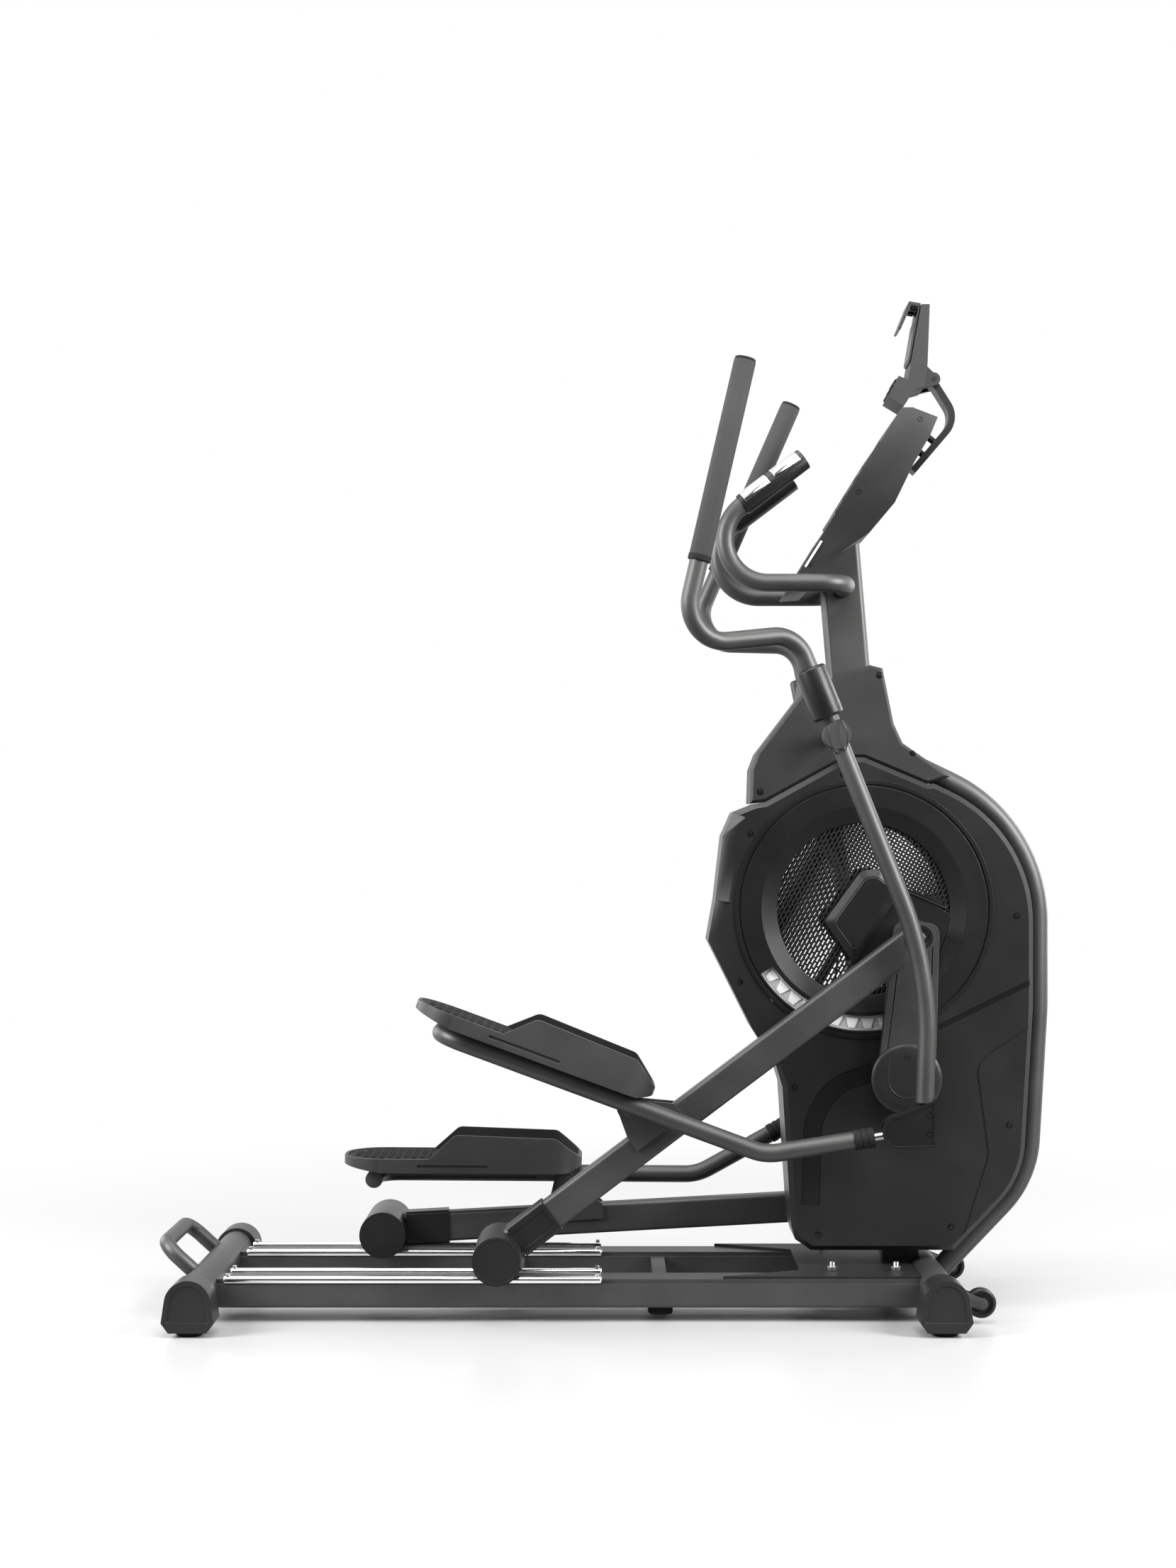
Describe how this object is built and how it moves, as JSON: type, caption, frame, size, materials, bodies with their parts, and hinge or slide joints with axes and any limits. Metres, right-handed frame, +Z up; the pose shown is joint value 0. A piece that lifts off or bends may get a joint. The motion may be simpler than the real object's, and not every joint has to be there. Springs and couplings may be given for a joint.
{
  "type": "elliptical trainer",
  "caption": "Free-standing front-drive elliptical trainer with rail-guided ramp arms, pedals on hinged foot bars, swing handlebars, a ring-grille shroud, console and tablet clamp.",
  "frame": {"origin": "on the floor, at the bottom centre of the part's own box", "axes": "+X forward to the spine tube, +Y to the user's left, +Z up"},
  "size_m": [1.599, 0.6, 1.8158],
  "materials": {
    "frame_paint": "satin",
    "black_plastic": "matte",
    "charcoal_plastic": "matte",
    "satin_black": "satin",
    "rubber": "matte",
    "chrome": "polished",
    "bright_steel": "brushed",
    "cast_iron": "machined",
    "grip_foam": "textured",
    "silver_plastic": "satin",
    "screen_glass": "polished"
  },
  "bodies": {
    "frame": {"rear_stabilizer": "frame_paint", "front_stabilizer": "frame_paint", "stabilizer_end_caps": "charcoal_plastic", "floor_feet": "rubber", "base_rails": "frame_paint", "front_base_plate": "frame_paint", "frame_bolts": "bright_steel", "carry_handle": "frame_paint", "track_rods": "chrome", "spine_tube": "frame_paint", "mast": "frame_paint", "drive_frame": "frame_paint", "flywheel_axle": "bright_steel", "drive_belt": "rubber", "right_side_cover": "charcoal_plastic", "left_side_cover": "charcoal_plastic", "neck_covers": "charcoal_plastic", "ring_bezels": "satin_black", "window_inserts": "silver_plastic", "ring_grilles": "black_plastic", "hub_covers": "charcoal_plastic", "cover_screws": "satin_black", "console_housing": "black_plastic", "console_screen": "screen_glass", "pulse_handlebar": "frame_paint", "pulse_grips": "black_plastic", "pulse_plates": "chrome", "tablet_strap": "black_plastic"},
    "crank": {"crank_axle": "bright_steel", "crank_pulley": "black_plastic", "crank_arms": "frame_paint", "crank_caps": "black_plastic"},
    "flywheel": {"flywheel": "cast_iron"},
    "brake": {"brake_shoe": "bright_steel"},
    "right_wheel": {"right_transport_wheel": "black_plastic"},
    "left_wheel": {"left_transport_wheel": "black_plastic"},
    "tablet_clamp": {"tablet_holder": "charcoal_plastic"},
    "tablet_upper_jaw": {"tablet_jaw": "charcoal_plastic"},
    "start_key": {"start_button": "silver_plastic"},
    "mode_key": {"mode_button": "silver_plastic"},
    "right_slider": {"right_roller_axle": "bright_steel"},
    "right_track_rollers": {"right_rollers": "black_plastic"},
    "right_ramp": {"right_ramp_arm": "frame_paint", "right_roller_housing": "black_plastic"},
    "right_foot": {"right_foot_bar": "frame_paint", "right_pedal": "charcoal_plastic"},
    "right_swing": {"right_swing_arm": "frame_paint", "right_swing_handlebar": "frame_paint", "right_swing_grip": "grip_foam", "right_pivot_cover": "black_plastic"},
    "left_slider": {"left_roller_axle": "bright_steel"},
    "left_track_rollers": {"left_rollers": "black_plastic"},
    "left_ramp": {"left_ramp_arm": "frame_paint", "left_roller_housing": "black_plastic"},
    "left_foot": {"left_foot_bar": "frame_paint", "left_pedal": "charcoal_plastic"},
    "left_swing": {"left_swing_arm": "frame_paint", "left_swing_handlebar": "frame_paint", "left_swing_grip": "grip_foam", "left_pivot_cover": "black_plastic"}
  },
  "joints": [
    {"name": "crank_turn", "type": "hinge", "parent": "frame", "child": "crank", "pos_m": [0.5295, 0, 0.4185], "axis": [0, 1, 0], "range_deg": [0, 30]},
    {"name": "flywheel_spin", "type": "hinge", "parent": "frame", "child": "flywheel", "pos_m": [0.4575, 0, 0.719], "axis": [0, 1, 0], "range_deg": [0, 163]},
    {"name": "brake_swing", "type": "hinge", "parent": "frame", "child": "brake", "pos_m": [0.68696, -0.015, 0.67854], "axis": [0, -1, 0], "range_deg": [0, 6]},
    {"name": "right_wheel_spin", "type": "hinge", "parent": "frame", "child": "right_wheel", "pos_m": [0.649, -0.178, 0.0367], "axis": [0, 1, 0], "continuous": true},
    {"name": "left_wheel_spin", "type": "hinge", "parent": "frame", "child": "left_wheel", "pos_m": [0.649, 0.178, 0.0367], "axis": [0, 1, 0], "continuous": true},
    {"name": "tablet_tilt", "type": "hinge", "parent": "frame", "child": "tablet_clamp", "pos_m": [0.588, 0, 1.676], "axis": [0, 1, 0], "range_deg": [-12, 15]},
    {"name": "jaw_slide", "type": "slide", "parent": "tablet_clamp", "child": "tablet_upper_jaw", "axis": [0.1738, 0, 0.9848], "range_m": [0, 0.045], "stiffness_N_per_m": 150},
    {"name": "start_press", "type": "slide", "parent": "frame", "child": "start_key", "axis": [0.8486, 0, -0.529], "range_m": [0, 0.002], "stiffness_N_per_m": 800},
    {"name": "mode_press", "type": "slide", "parent": "frame", "child": "mode_key", "axis": [0.8486, 0, -0.529], "range_m": [0, 0.002], "stiffness_N_per_m": 800},
    {"name": "right_track_slide", "type": "slide", "parent": "frame", "child": "right_slider", "axis": [1, 0, 0], "range_m": [0, 0.0946]},
    {"name": "right_roller_spin", "type": "hinge", "parent": "right_slider", "child": "right_track_rollers", "pos_m": [-0.19408, -0.1345, 0.1136], "axis": [0, 1, 0], "range_deg": [0, 172.9]},
    {"name": "right_ramp_tilt", "type": "hinge", "parent": "right_slider", "child": "right_ramp", "pos_m": [-0.19408, -0.1345, 0.1136], "axis": [0, 1, 0], "range_deg": [0, 3.5]},
    {"name": "right_foot_tilt", "type": "hinge", "parent": "right_ramp", "child": "right_foot", "pos_m": [0.03527, -0.1345, 0.37417], "axis": [0, 1, 0], "range_deg": [-8.4, 0]},
    {"name": "right_swing_pivot", "type": "hinge", "parent": "frame", "child": "right_swing", "pos_m": [0.3968, -0.185, 1.025], "axis": [0, 1, 0], "range_deg": [-9.5, 0]},
    {"name": "left_track_slide", "type": "slide", "parent": "frame", "child": "left_slider", "axis": [1, 0, 0], "range_m": [-0.1219, 0]},
    {"name": "left_roller_spin", "type": "hinge", "parent": "left_slider", "child": "left_track_rollers", "pos_m": [-0.41635, 0.1345, 0.1136], "axis": [0, 1, 0], "range_deg": [-223.1, 0]},
    {"name": "left_ramp_tilt", "type": "hinge", "parent": "left_slider", "child": "left_ramp", "pos_m": [-0.41635, 0.1345, 0.1136], "axis": [0, 1, 0], "range_deg": [-2.9, 0]},
    {"name": "left_foot_tilt", "type": "hinge", "parent": "left_ramp", "child": "left_foot", "pos_m": [-0.08067, 0.1345, 0.202], "axis": [0, 1, 0], "range_deg": [0, 3]},
    {"name": "left_swing_pivot", "type": "hinge", "parent": "frame", "child": "left_swing", "pos_m": [0.3968, 0.185, 1.025], "axis": [0, 1, 0], "range_deg": [0, 10.6]}
  ],
  "couplings": [
    {"joint": "flywheel_spin", "follows": "crank_turn", "ratio": 5.4167},
    {"joint": "right_track_slide", "follows": "crank_turn", "m_per_rad": 0.17964},
    {"joint": "right_roller_spin", "follows": "crank_turn", "ratio": 5.7578},
    {"joint": "right_ramp_tilt", "follows": "crank_turn", "ratio": 0.10892},
    {"joint": "right_foot_tilt", "follows": "crank_turn", "ratio": -0.27249},
    {"joint": "right_swing_pivot", "follows": "crank_turn", "ratio": -0.30989},
    {"joint": "left_track_slide", "follows": "crank_turn", "m_per_rad": -0.23179},
    {"joint": "left_roller_spin", "follows": "crank_turn", "ratio": -7.4292},
    {"joint": "left_ramp_tilt", "follows": "crank_turn", "ratio": -0.089072},
    {"joint": "left_foot_tilt", "follows": "crank_turn", "ratio": 0.09251},
    {"joint": "left_swing_pivot", "follows": "crank_turn", "ratio": 0.3451}
  ]
}
